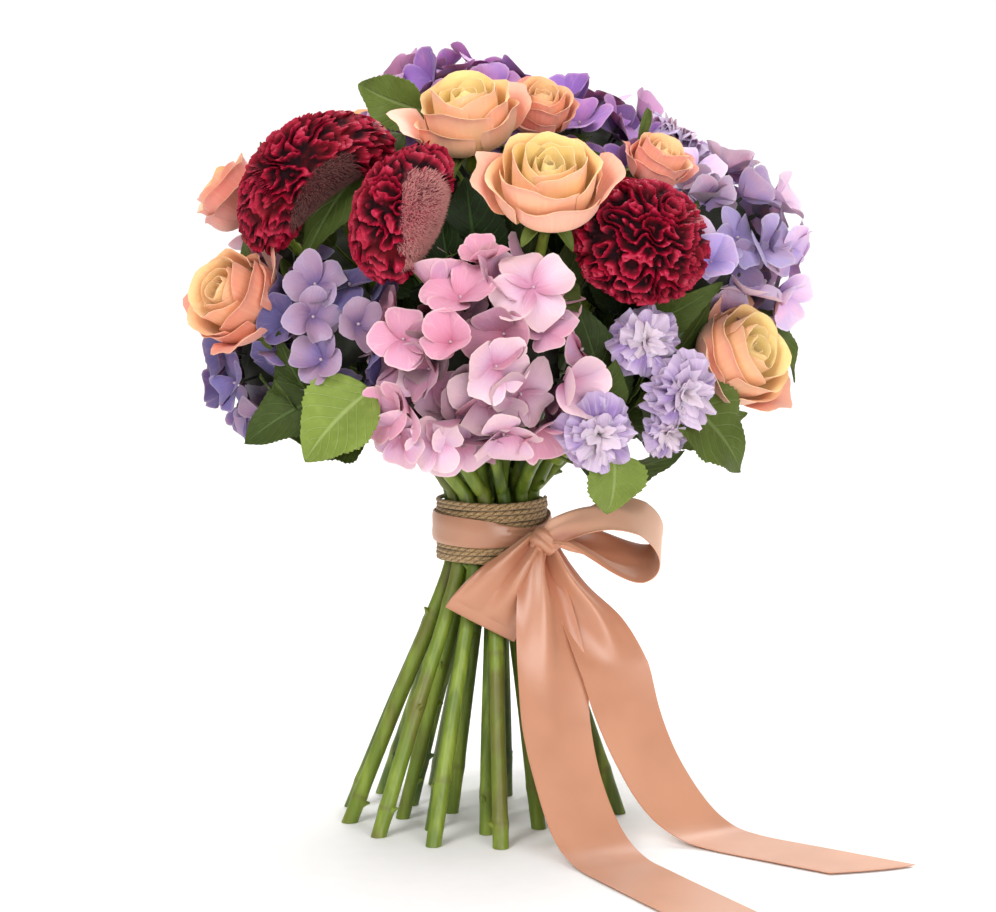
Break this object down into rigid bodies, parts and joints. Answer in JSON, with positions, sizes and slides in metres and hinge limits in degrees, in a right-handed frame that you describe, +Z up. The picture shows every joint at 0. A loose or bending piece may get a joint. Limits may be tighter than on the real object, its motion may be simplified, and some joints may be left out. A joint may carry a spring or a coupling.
{
  "type": "flower bouquet",
  "caption": "Hand-tied mixed bouquet of roses, cockscombs, hydrangeas and carnations on spiralled cut stems, bound with jute twine and a satin ribbon bow with trailing tails.",
  "frame": {"origin": "middle of the cut end of the bouquet's middle stem, on the surface that the bouquet stands on", "axes": "+Z up along the bundle of stems to the flowers, -Y out of the bouquet's front, where the pink hydrangea and the bow are, +X to the right seen from the front"},
  "size_m": [0.3462, 0.3546, 0.3879],
  "materials": {
    "peach_petals": "soft matte petals, creamy yellow inside, peach to pink at the rims",
    "coral_petals": "soft matte coral petals",
    "crimson_crest": "velvety folded crimson crest",
    "pink_florets": "thin mauve-pink petals with paler edges",
    "lilac_florets": "thin lavender-blue petals",
    "purple_florets": "thin purple petals",
    "lavender_petals": "frilled pale lilac petals",
    "stem_green": "fresh green stems, leaves and sepals",
    "jute": "twisted natural jute twine",
    "satin": "peach satin with a soft sheen"
  },
  "bodies": {
    "root": {"rose_front": "peach_petals", "rose_front_stem": "stem_green", "rose_top": "peach_petals", "rose_top_stem": "stem_green", "rose_left": "peach_petals", "rose_left_stem": "stem_green", "rose_right": "peach_petals", "rose_right_stem": "stem_green", "rose_back_left": "peach_petals", "rose_back_left_stem": "stem_green", "spray_rose_top": "coral_petals", "spray_rose_top_stem": "stem_green", "spray_rose_right": "coral_petals", "spray_rose_right_stem": "stem_green", "rose_upper_left": "coral_petals", "rose_upper_left_stem": "stem_green", "rose_back_right": "coral_petals", "rose_back_right_stem": "stem_green", "cockscomb_left": "crimson_crest", "cockscomb_left_stem": "stem_green", "cockscomb_middle": "crimson_crest", "cockscomb_middle_stem": "stem_green", "cockscomb_right": "crimson_crest", "cockscomb_right_stem": "stem_green", "cockscomb_back": "crimson_crest", "cockscomb_back_stem": "stem_green", "hydrangea_pink": "pink_florets", "hydrangea_pink_stem": "stem_green", "hydrangea_back_left": "pink_florets", "hydrangea_back_left_stem": "stem_green", "hydrangea_front_left": "lilac_florets", "hydrangea_front_left_stem": "stem_green", "hydrangea_left": "lilac_florets", "hydrangea_left_stem": "stem_green", "hydrangea_right": "lilac_florets", "hydrangea_right_stem": "stem_green", "hydrangea_back_right": "lilac_florets", "hydrangea_back_right_stem": "stem_green", "hydrangea_top": "purple_florets", "hydrangea_top_stem": "stem_green", "hydrangea_top_right": "purple_florets", "hydrangea_top_right_stem": "stem_green", "carnation_right": "lavender_petals", "carnation_right_stem": "stem_green", "carnation_right_2": "lavender_petals", "carnation_low": "lavender_petals", "carnation_low_stem": "stem_green", "carnation_high": "lavender_petals", "carnation_high_stem": "stem_green", "carnation_back": "lavender_petals", "carnation_back_stem": "stem_green", "jute_twine": "jute", "satin_ribbon": "satin"}
  },
  "joints": []
}
